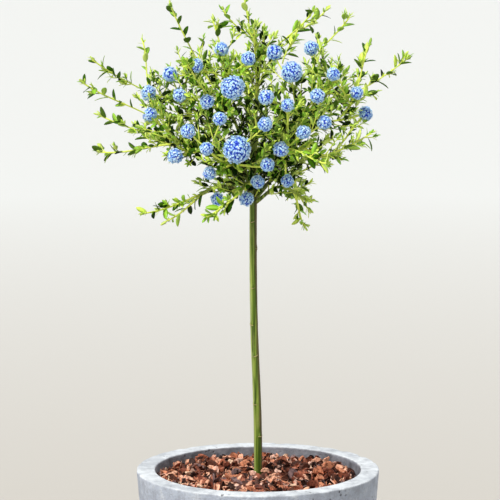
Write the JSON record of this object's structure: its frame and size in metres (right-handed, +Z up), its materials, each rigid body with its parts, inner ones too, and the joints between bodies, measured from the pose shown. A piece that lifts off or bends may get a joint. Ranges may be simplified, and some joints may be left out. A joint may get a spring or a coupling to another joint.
{
  "type": "potted standard flowering shrub",
  "caption": "Standard California lilac: an open round head of small leaves and round blue flower heads on a clear green stem, in a banded grey pot topped with bark mulch.",
  "frame": {"origin": "centre of the pot's flat underside, on the floor", "axes": "+Z straight up along the stem; the front is -Y and +X is to the right as seen from the front"},
  "size_m": [0.5451, 0.5002, 1.1677],
  "materials": {
    "pot_stone": "matte",
    "soil": "matte",
    "bark_mulch": "matte",
    "green_bark": "satin",
    "foliage": "satin"
  },
  "bodies": {
    "root": {"pot": "pot_stone", "soil": "soil", "mulch": "bark_mulch", "trunk": "green_bark", "bough_low_1": "green_bark", "bough_low_2": "green_bark", "bough_low_3": "green_bark", "bough_low_4": "green_bark", "bough_low_5": "green_bark", "bough_mid_1": "green_bark", "bough_mid_2": "green_bark", "bough_mid_3": "green_bark", "bough_mid_4": "green_bark", "bough_mid_5": "green_bark", "bough_mid_6": "green_bark", "bough_high_1": "green_bark", "bough_high_2": "green_bark", "bough_high_3": "green_bark", "bough_high_4": "green_bark", "bough_high_5": "green_bark", "foliage_low_1": "foliage", "foliage_low_2": "foliage", "foliage_low_3": "foliage", "foliage_low_4": "foliage", "foliage_low_5": "foliage", "foliage_mid_1": "foliage", "foliage_mid_2": "foliage", "foliage_mid_3": "foliage", "foliage_mid_4": "foliage", "foliage_mid_5": "foliage", "foliage_mid_6": "foliage", "foliage_high_1": "foliage", "foliage_high_2": "foliage", "foliage_high_3": "foliage", "foliage_high_4": "foliage", "foliage_high_5": "foliage", "foliage_top": "foliage"}
  },
  "joints": []
}
